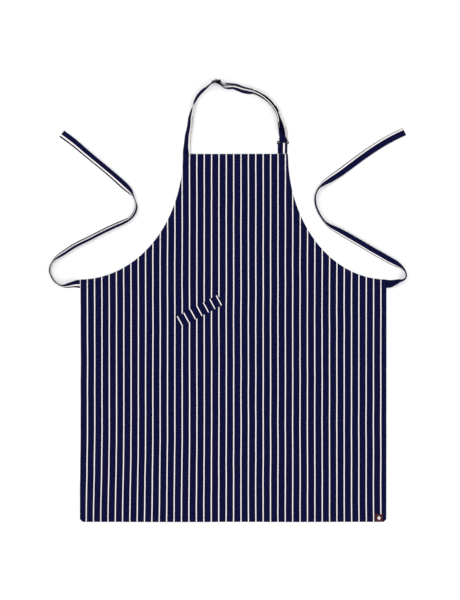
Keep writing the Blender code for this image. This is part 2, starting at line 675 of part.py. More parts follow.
def main():
    for old in list(bpy.data.objects):
        bpy.data.objects.remove(old, do_unlink=True)
    front_panel()
    sewn_ends()
    pocket()
    care_label()
    hem_stitching()
    tacks()
    pocket_stitching()
    label_stitching()
    stations = neck_strap()
    strap_end_stitching(stations)
    ring_tab()
    strap_ring()
    slider_buckle()
    ties()


main()
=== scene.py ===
"""The looks of the striped butcher's apron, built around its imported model.

Swept and gridded meshes take the place of the plain CAD solids: the panel with its turned hem, the folded
tapes, the pocket, the label, every stitch, the slider and the ring. Metres, +Z up, in the CAD model's frame.
"""

import math

import bpy
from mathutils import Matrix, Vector, noise


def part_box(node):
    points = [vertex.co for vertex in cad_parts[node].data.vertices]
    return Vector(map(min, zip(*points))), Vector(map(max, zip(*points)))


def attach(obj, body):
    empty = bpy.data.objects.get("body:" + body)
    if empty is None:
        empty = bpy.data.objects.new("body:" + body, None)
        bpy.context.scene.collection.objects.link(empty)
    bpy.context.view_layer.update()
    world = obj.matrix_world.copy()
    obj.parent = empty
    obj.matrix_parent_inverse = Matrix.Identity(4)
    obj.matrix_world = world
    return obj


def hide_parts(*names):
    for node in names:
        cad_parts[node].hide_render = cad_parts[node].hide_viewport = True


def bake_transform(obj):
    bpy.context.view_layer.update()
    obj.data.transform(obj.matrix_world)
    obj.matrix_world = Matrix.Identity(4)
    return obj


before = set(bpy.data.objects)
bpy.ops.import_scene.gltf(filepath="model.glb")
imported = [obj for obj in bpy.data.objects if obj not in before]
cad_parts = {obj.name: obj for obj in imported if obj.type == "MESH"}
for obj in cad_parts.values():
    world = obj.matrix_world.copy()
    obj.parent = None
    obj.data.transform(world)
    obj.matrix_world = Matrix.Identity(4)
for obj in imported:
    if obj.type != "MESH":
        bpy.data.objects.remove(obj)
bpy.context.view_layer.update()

UP = Vector((0, 0, 1))

# ---- the cloth and its stripes ----
STRIPE_PITCH = 0.01696
STRIPE_HALF = 0.00118       # half the width of a white stripe
FIRST_STRIPE_X = -0.3534
CLOTH = 0.0006
THREAD = 0.0006
STITCH_PITCH = 0.0034
STITCH_LENGTH = 0.0027
BAR_TACK_PITCH = 0.0029
THREAD_SINK = 0.0001        # how far a seam is pressed into a tape

# ---- the panel, whose outline is the CAD panel's ----
panel_low, panel_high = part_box("front_panel")
panel_points = [v.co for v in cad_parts["front_panel"].data.vertices]
HALF_WIDTH = panel_high.x
BOTTOM_Y = panel_low.y
BIB_TOP_Y = panel_high.y
PANEL_TOP_Z = panel_high.z
TOP_POINTS = [p for p in panel_points if BIB_TOP_Y - p.y < 1e-5]
BIB_LEFT_X = min(p.x for p in TOP_POINTS)
BIB_RIGHT_X = max(p.x for p in TOP_POINTS)
SIDE_TOP_Y = max(p.y for p in panel_points if HALF_WIDTH - abs(p.x) < 1e-5)
HEM_WIDTH = 0.0118
STITCH_INSET = 0.0095
COLUMNS = 112
SKIRT_ROWS = 86
ARMHOLE_ROWS = 46
GRID_INSET = 0.018          # the middle of the panel is a grid; rings run from it out to the edge
CORNER_CUT = 0.0030         # how far the bottom corners are pressed in
SINGLE_TOP = 0.0011         # the face of single cloth on the table
WAVE_HEIGHT = 0.0022
PUCKER_HEIGHT = 0.0006
STRIPES_LEFT = 0.0010       # how far the stripes lie left of even ones, without the bow and the flare
STRIPE_BOW = 0.0012
BOW_MIDDLE_X = -0.14
BOW_LENGTH = 0.85
STRIPE_FLARE = 0.0028       # to the left at the bottom left corner

TAPE_NAMES = ("neck_strap", "ring_tab", "left_tie", "right_tie")
SEWN_ENDS = {name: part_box(name + "_end") for name in TAPE_NAMES}
TACKS = {name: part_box(name + "_tack") for name in TAPE_NAMES}
TACK_GAP = 0.002            # between a tack and the hem's stitches

# ---- the tapes ----
STRAP_WIDTH = 0.019
STRAP_THICK = 0.001
TIE_WIDTH = 0.0185
TIE_THICK = 0.0017
TAB_WIDTH = 0.022
TAB_PLY = 0.0006
STEP = 0.003                # between the sections of a tape
SEAM_INSET = 0.002          # of the stitches along a tape's two edges
SEAM_DIMPLE = 0.22          # the share of a tape's thickness that they pull in
STRAP_BAND = (0.0163, 0.0024)       # middle and half width of the white band, from the tape's left edge
TIE_BAND = (0.0055, 0.0019)
TAB_BAND = (0.0142, 0.0020)
TIE_SPLIT = 3               # the route point where a tie's bending root ends
SLIDER_RISE_RUN = 0.045     # how much strap rises to the slider on each side of it
STRAP_SWELL = 0.55          # how much thicker the folded strap is away from the slider and the ring
SNUG = 0.0003               # between a tape and the bar that it goes round

# ---- the pocket ----
welt_low, welt_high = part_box("pocket_welt")
POCKET = (welt_low + welt_high) / 2
POCKET_TURN = math.radians(28)
WELT_LENGTH = 0.112
WELT_WIDTH = 0.026
WELT_THICK = 0.0012
WELT_STRIPE = -0.0498       # the first stripe across the welt, from its middle
WELT_GAPE = 0.0010          # how far its free edge stands up in the middle
WELT_CLEAR = 0.0003         # between it, or the label, and the panel's face
TACK_ROW = 0.0006           # half the space between the two rows of a bar tack
BAG_ABOVE_SLIT = 0.0136
BAG_CORNER = 0.025
BAG_PLY = 0.0004
BAG_SEAM_INSET = 0.010
BAG_SEAM_Z = 0.0013
bag_low, bag_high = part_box("pocket_bag_back")
label_low, label_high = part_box("care_label")
LABEL_CURL = 0.0012
LABEL_SEAM_INSET = 0.0015

# ---- the pocket bag's sheet as it was cut; the panel has 12 mm turned under all round ----
BAG_CUT = (0.120, 0.200)

# ---- the slider and the ring ----
slider_low, slider_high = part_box("slider_buckle")
SLIDER_AT = ((slider_low + slider_high) / 2).xy
SLIDER_TURN = math.radians(8.5)
SLIDER_LENGTH = 0.021
SLIDER_HEIGHT = slider_high.z
SLIDER_BAR = 0.002
SLIDER_LIFT = 0.0025
ring_low, ring_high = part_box("strap_ring")
RING_WIRE = ring_high.z - ring_low.z
RING_Z = (ring_low.z + ring_high.z) / 2
RING_NEAR_Y = ring_low.y + RING_WIRE / 2
RING_FAR_Y = ring_high.y - RING_WIRE / 2
RING_STRAP_X = 0.1162
RING_CORNER = 0.0024
SLIDER_CORNER = 0.0022
SLIDER_DEPTH = 0.0028
SLIDER_SHIFT = 0.0002
MIDDLE_BAR = 0.00196        # diameter

# ---- the routes of the tapes ----
tab_low, tab_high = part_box("ring_tab")
TAB_X = (tab_low.x + tab_high.x) / 2


def metres(rows, count=2):
    """The rows, with the first numbers of each turned from millimetres into metres."""
    return [(*(part / 1000 for part in row[:count]), *row[count:]) for row in rows]


# The tab's two plies, as (y, z) of their middles: out to the ring's near bar, and back to the bib.
TAB_LOWER = metres([(340.6, 0.3), (348, 0.3), (356, 0.3), (360, 0.45)])
TAB_UPPER = metres([(359.5, 3.7), (354, 2.4), (348, 1.4), (343, 1.2)])
# The other tapes, as (x, y, lean). The lean, in degrees, is how far the tape's right-hand edge is raised:
# 0 is flat and face up, 90 is on edge, 180 is flat and face down.
STRAP_LEFT = metres([
    (-107, 341, 0), (-107, 348, 18), (-107, 356, 33), (-106, 368, 40), (-105, 382, 45), (-102, 396, 49),
    (-100, 410, 54), (-99, 423, 60), (-96, 437, 70), (-93, 450, 84), (-88, 462, 97), (-81, 474, 101),
    (-70, 486, 100), (-61.5, 492.5, 94),
])
STRAP_OUTER = metres([
    (-26, 503.5, 86), (-15, 501.8, 75), (-4, 500.8, 73), (8, 499.3, 73), (24, 493.6, 76), (43, 489.2, 84),
    (53, 485.5, 92), (68, 477, 98), (81, 468, 99), (93, 455, 98), (101, 442, 97), (106, 430, 98),
    (109, 420, 103), (112, 410, 118), (115.2, 399, 136), (116.8, 388, 157), (116.6, 376.7, 180),
])
STRAP_INNER = metres([
    (-19, 492.5, 92), (-10, 492.2, 99), (0, 492.5, 102), (12, 489, 108), (23, 485, 111), (36, 482.5, 110),
    (47, 481, 98), (59, 476, 97), (68, 470.5, 96), (78, 463, 92), (89, 452, 90), (97.5, 440, 90),
])
LEFT_TIE = metres([
    (-355.6, 39, 0), (-363, 39, 28), (-372, 37.5, 47), (-382, 35, 58), (-392, 34, 74), (-401, 36, 84),
    (-411, 43, 90), (-419, 54, 90), (-424, 68, 90), (-422, 82, 88), (-415, 94, 75), (-404, 103, 60),
    (-390, 112, 53), (-374, 123, 53), (-354, 134, 53), (-331, 145, 53), (-304, 159, 53), (-279, 171, 53),
    (-254, 182, 55), (-239, 190, 65), (-229, 202, 64), (-224, 217, 70), (-226, 230, 87), (-231, 243, 80),
    (-238, 253, 50), (-253, 267, 25), (-274, 286, 28), (-295, 304, 32), (-318, 323, 32), (-342, 343, 28),
    (-369, 366, 18), (-397, 387, 5),
])
RIGHT_TIE = metres([
    (355.6, 39, 0), (364, 39, 24), (374, 42, 50), (384, 46, 68), (393, 48, 82), (399, 53, 90),
    (400, 61, 90), (397, 69, 88), (390, 77, 75), (378, 85, 50), (361, 94, 38), (340, 106, 38),
    (317, 119, 38), (292, 134, 38), (266, 149, 40), (243, 162, 48), (224, 172, 65), (212, 182, 82),
    (203, 194, 84), (195, 209, 83), (190, 225, 83), (190, 243, 84), (196, 258, 82), (208, 270, 60),
    (224, 281, 35), (248, 297, 15), (275, 317, 10), (308, 341, 8), (340, 362, 6), (368, 378, 4),
    (397, 392, 0),
])
# How far the stripes wander to the tape's right, as (route point, millimetres).
LEFT_TIE_DRIFT = [(0, 0.8), (9, 2), (18, 2.2), (23, 0.4), (31, 0)]
RIGHT_TIE_DRIFT = [(0, -9), (4, -6), (8, -2.2), (16, -1.6), (22, -1.4), (30, -2.6)]
STRAP_DRIFT = [
    (0, 0), (7, 0), (10, 6), (26, 6), (27, 2.2), (28, 5.5), (32, 5.5), (33, 1.8), (35, 1.8), (37, 5.5),
    (39, 3), (41, 0), (46, 0), (49, 6), (57, 6), (60, 1.8), (71, 1.8), (73, 6), (85, 6),
]
# The returning strap stands beside the outgoing one, from the ring back: (x, y, z, turn), where the turn is
# how far its inner side has risen from lying flat.
BACK_FROM_RING = metres([
    (116.2, 371.4, 5.2, 5), (115.4, 374.2, 7.2, 20), (113.9, 377.5, 9.4, 40), (110.7, 381.8, 10.7, 62),
    (108, 387.5, 10.4, 77), (106.5, 395, 9.9, 86), (105.6, 402, 9.6, 89), (104.6, 412, 9.6, 90),
    (103.6, 422, 9.6, 90), (101.2, 432, 9.6, 90),
], 3)
# The strap through the slider and round its middle bar, as (along the frame, outwards from the frame).
THROUGH_SLIDER = metres([
    (-15.5, -4.9), (-12.5, -3.1), (-10.5, -2.2), (-8.3, -1.9), (-6.2, -0.8), (-4.4, 0.9), (-2.4, 2.6),
    (0, 3.2), (2.4, 2.6), (4.4, 0.9), (6.2, -0.8), (8.3, -1.9), (10.5, -2.3),
])
ROUND_MIDDLE_BAR = metres([
    (9.4, -9.3), (4.5, -5.5), (1.1, -3), (-0.9, -1.6), (-1.8, 0), (-1.27, 1.27), (0, 1.8), (1.27, 1.27),
    (1.8, 0), (2.6, -1.7), (5.3, -4), (9, -6.9), (12, -9.2),
])


# ---- materials ----


class Look:
    """A material on one Principled shader, built up node by node."""

    def __init__(self, name, roughness=0.8, metallic=0.0, specular=0.06, sheen=0.0):
        self.material = bpy.data.materials.new(name)
        self.material.use_nodes = True
        self.tree = self.material.node_tree
        self.shader = self.tree.nodes["Principled BSDF"]
        self.set("Roughness", roughness)
        self.set("Metallic", metallic)
        self.set("Specular IOR Level", specular)
        self.set("Sheen Weight", sheen)
        self.set("Sheen Roughness", 0.4)
        split = self.add("SeparateXYZ", self.add("UVMap").outputs["UV"])
        self.across, self.along = split.outputs["X"], split.outputs["Y"]

    def join(self, socket, value):
        if isinstance(value, bpy.types.NodeSocket):
            self.tree.links.new(value, socket)
        else:
            socket.default_value = value

    def set(self, name, value):
        self.join(self.shader.inputs[name], value)

    def add(self, kind, *values):
        made = self.tree.nodes.new("ShaderNode" + kind)
        for socket, value in zip(made.inputs, values):
            self.join(socket, value)
        return made

    def calc(self, operation, *values):
        made = self.add("Math", *values)
        made.operation = operation
        return made.outputs[0]

    def ramp(self, value, low, high):
        """0 below low, 1 above high, and smooth between."""
        made = self.add("MapRange", value, low, high)
        made.interpolation_type = "SMOOTHSTEP"
        return made.outputs[0]

    def mix(self, share, first, second):
        """The first colour at share 0 and the second at 1."""
        made = self.tree.nodes.new("ShaderNodeMix")
        made.data_type = "RGBA"
        self.join(made.inputs["Factor"], share)
        for socket, colour in zip([s for s in made.inputs if s.type == "RGBA"], (first, second)):
            self.join(socket, (*colour, 1) if isinstance(colour, tuple) else colour)
        return next(s for s in made.outputs if s.type == "RGBA")

    def noise(self, across_scale, along_scale, detail=2.0):
        """Noise on the cloth, with its own scale each way, in cycles to the metre."""
        place = self.add("CombineXYZ", self.calc("MULTIPLY", self.across, across_scale),
                         self.calc("MULTIPLY", self.along, along_scale), 0.0)
        made = self.add("TexNoise")
        self.join(made.inputs["Vector"], place.outputs[0])
        made.inputs["Scale"].default_value = 1.0
        made.inputs["Detail"].default_value = detail
        return made.outputs["Fac"]

    def wave(self, value, pitch):
        return self.calc("SINE", self.calc("MULTIPLY", value, 2 * math.pi / pitch))

    def weave(self, pitch):
        """The height of a plain weave, from 0 to 1."""
        crossing = self.calc("MULTIPLY", self.wave(self.across, pitch), self.wave(self.along, pitch))
        return self.calc("MULTIPLY_ADD", crossing, 0.5, 0.5)

    def bump(self, height, distance):
        made = self.add("Bump")
        made.inputs["Distance"].default_value = distance
        self.join(made.inputs["Height"], height)
        self.set("Normal", made.outputs["Normal"])


NAVY = (0.0029, 0.0034, 0.0305)
NAVY_WORN = (0.0062, 0.0072, 0.043)
# beside a white stripe: a deeper navy together with painted shade from the raised white yarns
NAVY_DEEP_AND_SHADED = (0.0006, 0.0007, 0.016)
WHITE = (0.90, 0.86, 0.85)
WHITE_SHADED = (0.78, 0.72, 0.71)
YARN_PITCH = 0.0009
STRIPE_BLUR = 0.0002
DEEP_REACH = 0.0028         # the navy is deepest beside a white stripe: partly a deeper navy weave, partly painted shade beside the raised white yarns


def striped(name, middle, half, pitch=None, wobble=0.0):
    """Navy cotton with white stripes along it: one at the middle given, or one at every pitch."""
    look = Look(name, specular=0.02)
    sway = look.calc("MULTIPLY_ADD", look.noise(7, 9), 2 * wobble, -wobble)
    ragged = look.calc("MULTIPLY_ADD", look.noise(1800, 600), 0.0005, -0.00025)
    place = look.calc("ADD", look.across, look.calc("ADD", sway, ragged))
    if pitch:
        turns = look.calc("DIVIDE", look.calc("SUBTRACT", place, middle), pitch)
        nearest = look.calc("SUBTRACT", turns, look.calc("ROUND", turns))
        away = look.calc("ABSOLUTE", look.calc("MULTIPLY", nearest, pitch))
    else:
        away = look.calc("ABSOLUTE", look.calc("SUBTRACT", place, middle))
    navy = look.mix(look.ramp(look.noise(1100, 90), 0.35, 0.75), NAVY, NAVY_WORN)
    # painted shade beside the raised white yarns, over a deeper navy, within DEEP_REACH of each stripe
    navy = look.mix(look.ramp(away, half, half + DEEP_REACH), NAVY_DEEP_AND_SHADED, navy)
    white = look.mix(look.ramp(look.noise(1300, 110), 0.3, 0.8), WHITE, WHITE_SHADED)
    white = look.mix(look.ramp(look.noise(9, 5), 0.45, 0.8), white, WHITE_SHADED)
    look.set("Base Color", look.mix(look.ramp(away, half - STRIPE_BLUR, half + STRIPE_BLUR), white, navy))
    look.set("Roughness", look.calc("MULTIPLY_ADD", look.noise(400, 400), 0.16, 0.78))
    grain = look.calc("MULTIPLY_ADD", look.noise(1200, 300), 0.6, look.weave(YARN_PITCH))
    look.bump(grain, 0.00012)
    return look.material


def pocketing_look():
    look = Look("pocketing_cotton", 0.9, sheen=0.05)
    cloudy = look.ramp(look.noise(700, 700), 0.3, 0.75)
    look.set("Base Color", look.mix(cloudy, (0.72, 0.68, 0.62), (0.60, 0.56, 0.50)))
    look.bump(look.weave(YARN_PITCH), 0.0001)
    return look.material


def thread_look(name, colour):
    """Twisted thread: fine slanting ridges, with painted shade in the grooves between them."""
    look = Look(name, 0.7, sheen=0.1)
    slant = look.calc("ADD", look.across, look.calc("MULTIPLY", look.along, 1.5))
    ridge = look.calc("MULTIPLY_ADD", look.wave(slant, 0.0005), 0.5, 0.5)
    # painted shade: the thread's colour at 0.6 in the grooves between the ridges
    groove_shade = tuple(part * 0.6 for part in colour)
    look.set("Base Color", look.mix(ridge, groove_shade, colour))
    look.bump(ridge, 0.00008)
    return look.material


def label_look():
    """Maroon damask with a plain cream lozenge in the middle, and painted shade between its ribs. UV runs
    from -1 to 1 both ways.
    """
    look = Look("label_weave", 0.75, sheen=0.1)
    reach = look.calc("ADD", look.calc("DIVIDE", look.calc("ABSOLUTE", look.across), 0.52),
                      look.calc("DIVIDE", look.calc("ABSOLUTE", look.along), 0.62))
    ribs = look.calc("MULTIPLY_ADD", look.wave(look.along, 0.06), 0.5, 0.5)
    # painted shade: each colour is paler on the ribs' crests and dimmer in the grooves between them
    maroon = look.mix(ribs, (0.050, 0.012, 0.010), (0.085, 0.020, 0.016))
    cream = look.mix(ribs, (0.62, 0.56, 0.55), (0.74, 0.70, 0.70))
    look.set("Base Color", look.mix(look.ramp(reach, 0.93, 1.05), cream, maroon))
    look.bump(ribs, 0.0001)
    return look.material


def metal_look():
    """Antiqued metal, near black, with painted highlights as cloudy paler patches, and fine scratches."""
    look = Look("antiqued_metal", metallic=1.0, specular=0.5)
    cloudy = look.ramp(look.noise(220, 220, detail=4.0), 0.45, 0.7)
    # painted highlights: the cloudy patches lift the metal's near-black colour towards pale grey
    look.set("Base Color", look.mix(cloudy, (0.018, 0.015, 0.013), (0.17, 0.155, 0.145)))
    look.set("Roughness", look.calc("MULTIPLY_ADD", look.noise(500, 500), 0.25, 0.22))
    look.bump(look.noise(2500, 300), 0.00004)
    return look.material


panel_cloth = striped("panel_cotton", FIRST_STRIPE_X, STRIPE_HALF, STRIPE_PITCH, wobble=0.0009)
strap_cloth = striped("strap_cotton", *STRAP_BAND)
tie_cloth = striped("tie_cotton", *TIE_BAND)
tab_cloth = striped("tab_cotton", *TAB_BAND)
bag_cloth = pocketing_look()
thread_navy = thread_look("navy_thread", (0.010, 0.012, 0.050))
thread_maroon = thread_look("maroon_thread", (0.10, 0.025, 0.02))
metal = metal_look()
label_cloth = label_look()


# ---- mesh helpers ----


def smooth(value, low, high):
    """0 below low, 1 above high, and smooth between."""
    share = min(1.0, max(0.0, (value - low) / (high - low)))
    return share * share * (3 - 2 * share)


def build(name, points, faces, uvs, material, sharp=50):
    """A smooth shaded piece. Each point has one (u, v)."""
    mesh = bpy.data.meshes.new(name)
    mesh.from_pydata([tuple(p) for p in points], [], faces)
    layer = mesh.uv_layers.new(name="UVMap")
    for loop in mesh.loops:
        layer.data[loop.index].uv = uvs[loop.vertex_index]
    mesh.materials.append(material)
    mesh.shade_smooth()
    mesh.set_sharp_from_angle(angle=math.radians(sharp))
    mesh.update()
    piece = bpy.data.objects.new(name, mesh)
    bpy.context.scene.collection.objects.link(piece)
    return piece


def fit(piece, body, node):
    """The piece moves with the body and takes the CAD node's place."""
    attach(piece, body)
    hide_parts(node)
    return piece


def strip_faces(rings, size, closed=False):
    """Quads that join rings of points, each ring a closed run of this many, with the ends capped."""
    faces = []
    for ring in range(rings if closed else rings - 1):
        here, after = ring * size, (ring + 1) % rings * size
        for k in range(size):
            other = (k + 1) % size
            faces.append((here + k, after + k, after + other, here + other))
    if not closed:
        faces += [tuple(range(size)), tuple((rings - 1) * size + k for k in reversed(range(size)))]
    return faces


def turned(point, centre, angle):
    """The (x, y) point turned about the origin and moved to the centre."""
    x, y = point
    across = x * math.cos(angle) - y * math.sin(angle)
    along = x * math.sin(angle) + y * math.cos(angle)
    return centre[0] + across, centre[1] + along


# ---- the panel ----


def edge_distance(x, y):
    """How far a point of the panel is from its outline."""
    nearest = min(HALF_WIDTH - abs(x), y - BOTTOM_Y, BIB_TOP_Y - y)
    reach_x = HALF_WIDTH - abs(BIB_LEFT_X if x < 0 else BIB_RIGHT_X)
    reach_y = BIB_TOP_Y - SIDE_TOP_Y
    in_x, in_y = (HALF_WIDTH - abs(x)) / reach_x, (BIB_TOP_Y - y) / reach_y
    ratio = math.hypot(in_x, in_y)
    slope = math.hypot(in_x / reach_x, in_y / reach_y) / max(ratio, 1e-6)
    return min(nearest, (ratio - 1) / slope)


def bag_top(x):
    """Y of the pocket bag's slanted top edge."""
    return POCKET.y + (x - POCKET.x) * math.tan(POCKET_TURN) + BAG_ABOVE_SLIT


def over_bag(x, y):
    """1 where the pocket bag lies under the panel, falling to 0 just outside it."""
    room = min(x - bag_low.x, bag_high.x - x, y - bag_low.y, (bag_top(x) - y) * math.cos(POCKET_TURN))
    return smooth(room, -0.006, 0.001)


def over_sewn_end(x, y):
    """1 where the sewn end of a tape lies under the panel, falling to 0 just outside it."""
    room = max(min(x - low.x, high.x - x, y - low.y, high.y - y) for low, high in SEWN_ENDS.values())
    return smooth(room, -0.004, 0.0)


def face_height(x, y):
    """The height of the panel's face: single cloth lies on the table, and rises over what is under it."""
    hem = 1 - smooth(edge_distance(x, y), HEM_WIDTH, HEM_WIDTH + 0.005)
    risen = max(hem, over_bag(x, y), over_sewn_end(x, y))
    wave = noise.noise(Vector((x * 6.5, y * 3.2, 0.4))) + 0.6 * noise.noise(Vector((x * 15, y * 7, 2.1)))
    pucker = noise.noise(Vector((x * 60, y * 60, 5.7))) * (1 - smooth(edge_distance(x, y), 0.012, 0.03))
    lift = max(0.0, wave + 0.25) * WAVE_HEIGHT + max(0.0, pucker) * PUCKER_HEIGHT
    return SINGLE_TOP + (PANEL_TOP_Z - SINGLE_TOP) * risen + lift


def stripe_shift(x, y):
    """How far the stripes lie to the right of even ones, because the cloth isn't laid quite straight."""
    bow = -STRIPES_LEFT - STRIPE_BOW * math.cos(2 * math.pi * (x - BOW_MIDDLE_X) / BOW_LENGTH)
    flare = -STRIPE_FLARE * smooth(-y, 0.30, 0.52) * smooth(-x, -0.05, 0.25)
    return bow + flare


def panel_row(row, inset):
    """The two ends of one row of the panel, this far inside its outline."""
    if row <= SKIRT_ROWS:
        low, high = BOTTOM_Y + inset, SIDE_TOP_Y - inset
        y = low + (high - low) * row / SKIRT_ROWS
        return Vector((-HALF_WIDTH + inset, y)), Vector((HALF_WIDTH - inset, y))
    angle = math.pi / 2 * (row - SKIRT_ROWS) / ARMHOLE_ROWS
    ends = []
    for side, bib_x in ((-1, BIB_LEFT_X), (1, BIB_RIGHT_X)):
        reach_x, reach_y = HALF_WIDTH - abs(bib_x), BIB_TOP_Y - SIDE_TOP_Y
        out = Vector((math.sin(angle) / reach_x, math.cos(angle) / reach_y)).normalized() * inset
        x = HALF_WIDTH - reach_x * math.sin(angle) - out.x
        y = BIB_TOP_Y - reach_y * math.cos(angle) - out.y
        ends.append(Vector((side * min(x, HALF_WIDTH - inset), min(y, BIB_TOP_Y - inset))))
    return ends


def panel_point(column, row, inset):
    left, right = panel_row(row, inset)
    place = left.lerp(right, column / COLUMNS)
    if row == 0 and column in (0, COLUMNS):
        place += Vector((math.copysign(CORNER_CUT, -place.x), CORNER_CUT))
    return place


LAST_ROW = SKIRT_ROWS + ARMHOLE_ROWS


def panel_rim():
    """The (column, row) pairs round the edge of the grid, from the bottom left corner to the right."""
    rim = [(column, 0) for column in range(COLUMNS)]
    rim += [(COLUMNS, row) for row in range(LAST_ROW)]
    rim += [(column, LAST_ROW) for column in range(COLUMNS, 0, -1)]
    rim += [(0, row) for row in range(LAST_ROW, 0, -1)]
    return rim


def front_panel():
    """The striped cloth: its face, the rolled edge, the turned hem under it and the wrong side."""
    points, uvs, faces = [], [], []

    def put(column, row, inset, below):
        x, y = panel_point(column, row, inset)
        points.append((x, y, max(0.0, face_height(x, y) - below)))
        uvs.append((x - stripe_shift(x, y), y))

    for below in (0.0, CLOTH):
        for row in range(LAST_ROW + 1):
            for column in range(COLUMNS + 1):
                put(column, row, GRID_INSET, below)
    width, grid = COLUMNS + 1, (COLUMNS + 1) * (LAST_ROW + 1)
    for row in range(LAST_ROW):
        for column in range(COLUMNS):
            a = row * width + column
            faces.append((a, a + 1, a + 1 + width, a + width))
            faces.append((grid + a, grid + a + width, grid + a + 1 + width, grid + a + 1))
    rim = panel_rim()
    thick = PANEL_TOP_Z
    profile = [(0.0155, 0), (0.0138, 0), (0.0118, 0), (0.0102, 0), (0.0086, 0), (0.0055, 0), (0.0028, 0),
               (0.0010, 0.00005), (0.0003, 0.0004), (0.0, 0.0008), (0.0, 0.0013), (0.0003, thick - 0.0004),
               (0.0010, thick), (0.0060, thick), (0.0110, thick), (0.0114, thick - 0.0004),
               (0.0116, CLOTH + 0.0001), (0.0135, CLOTH), (0.0155, CLOTH)]
    rings = [[row * width + column for column, row in rim]]
    for inset, below in profile:
        rings.append(list(range(len(points), len(points) + len(rim))))
        for column, row in rim:
            put(column, row, inset, below)
    rings.append([grid + row * width + column for column, row in rim])
    for inner, outer in zip(rings, rings[1:]):
        for k in range(len(rim)):
            other = (k + 1) % len(rim)
            faces.append((inner[k], outer[k], outer[other], inner[other]))
    panel = build("front_panel_cloth", points, faces, uvs, panel_cloth)
    return fit(panel, "apron", "front_panel")


# ---- stitches ----


def spaced(line, pitch):
    """(place, heading, distance) every pitch along a 3-D line."""
    found, walked, target = [], 0.0, pitch / 2
    for first, second in zip(line, line[1:]):
        span = (second - first).length
        while span > 0 and walked + span >= target:
            place = first.lerp(second, (target - walked) / span)
            found.append((place, (second - first).normalized(), target))
            target += pitch
        walked += span
    return found


def stitches(name, runs, material=thread_navy, length=STITCH_LENGTH, pitch=STITCH_PITCH):
    """Stitches along runs. A run is (3-D line, the way out of the cloth at each point of it)."""
    points, faces, uvs = [], [], []
    shape = ((-0.5, 0.0, -0.45), (-0.36, 0.7, 0.0), (0.0, 1.0, 0.25), (0.36, 0.7, 0.0), (0.5, 0.0, -0.45))
    around = 6
    for line, outs in runs:
        lengths = [0.0]
        for first, second in zip(line, line[1:]):
            lengths.append(lengths[-1] + (second - first).length)
        here = 0
        for place, heading, walked in spaced(line, pitch):
            while here < len(lengths) - 2 and lengths[here + 1] < walked:
                here += 1
            out = outs[here]
            side = out.cross(heading).normalized()
            start = len(points)
            for along, size, rise in shape:
                middle = place + heading * along * length + out * rise * THREAD
                count = around if size else 1
                for k in range(count):
                    angle = 2 * math.pi * k / count
                    spread = side * math.cos(angle) + out * 0.8 * math.sin(angle)
                    point = middle + spread * size * THREAD / 2
                    points.append((point.x, point.y, max(0.0, point.z)))
                    uvs.append((walked + along * length, k * THREAD / 4))
            first, last = start, start + 1 + 3 * around
            for k in range(around):
                other = (k + 1) % around
                faces.append((first, start + 1 + other, start + 1 + k))
                for ring in range(2):
                    low = start + 1 + ring * around
                    faces.append((low + k, low + other, low + around + other, low + around + k))
                top = start + 1 + 2 * around
                faces.append((last, top + k, top + other))
    return build(name, points, faces, uvs, material, sharp=80)


def on_panel(points):
    """A run of stitches on the panel's face, along (x, y) points."""
    line = [Vector((x, y, face_height(x, y))) for x, y in points]
    return line, [UP] * len(line)


def fine(points, step=0.004):
    """The (x, y) line with a point at least every step."""
    found = [points[0]]
    for first, second in zip(points, points[1:]):
        first, second = Vector(first), Vector(second)
        count = max(1, round((second - first).length / step))
        found += [tuple(first.lerp(second, k / count)) for k in range(1, count + 1)]
    return found


def seam(name, node, runs, body="apron", **more):
    return fit(stitches(name, runs, **more), body, node)


def hem_seams():
    low, side_x, bib_y = BOTTOM_Y + STITCH_INSET, HALF_WIDTH - STITCH_INSET, BIB_TOP_Y - STITCH_INSET
    lines = {
        "bottom_hem": [(-side_x, low), (label_low.x - 0.001, low)],
        "left_side": [(-side_x, low), (-side_x, TACKS["left_tie"][0].y - TACK_GAP)],
        "right_side": [(side_x, label_high.y), (side_x, TACKS["right_tie"][0].y - TACK_GAP)],
        "bib_hem": [(TACKS["neck_strap"][1].x + TACK_GAP, bib_y), (TACKS["ring_tab"][0].x - TACK_GAP, bib_y)],
    }
    rows = range(SKIRT_ROWS + 3, LAST_ROW - 2)
    for column, name in ((0, "left_armhole"), (COLUMNS, "right_armhole")):
        lines[name] = [tuple(panel_point(column, row, STITCH_INSET)) for row in rows]
    return [seam(name + "_seam", name + "_stitching", [on_panel(fine(line))]) for name, line in lines.items()]


def tack_seams():
    """Each sewn tape end is held by a square run of stitches and a cross."""
    made = []
    for name, (low, high) in TACKS.items():
        square = [(low.x, low.y), (high.x, low.y), (high.x, high.y), (low.x, high.y), (low.x, low.y)]
        runs = [on_panel(fine(line)) for line in (square, square[:3:2], square[3:0:-2])]
        made.append(seam(name + "_box_seam", name + "_tack", runs))
    return made


# ---- tapes ----


def neighbours(row):
    """What is before and after each of the row, where an end stands in for what it lacks."""
    return zip([row[0], *row], [*row[1:], row[-1]])


def lay(route, width, thickness):
    """Stations (middle, across) of a tape on the table from its route. Across points to its right."""
    stations = []
    for (x, y, lean), (before, after) in zip(route, neighbours(route)):
        heading = Vector((after[0] - before[0], after[1] - before[1], 0)).normalized()
        angle = math.radians(lean)
        across = heading.cross(UP) * math.cos(angle) + UP * math.sin(angle)
        height = width / 2 * abs(math.sin(angle)) + thickness / 2 * abs(math.cos(angle))
        stations.append((Vector((x, y, height)), across))
    return stations


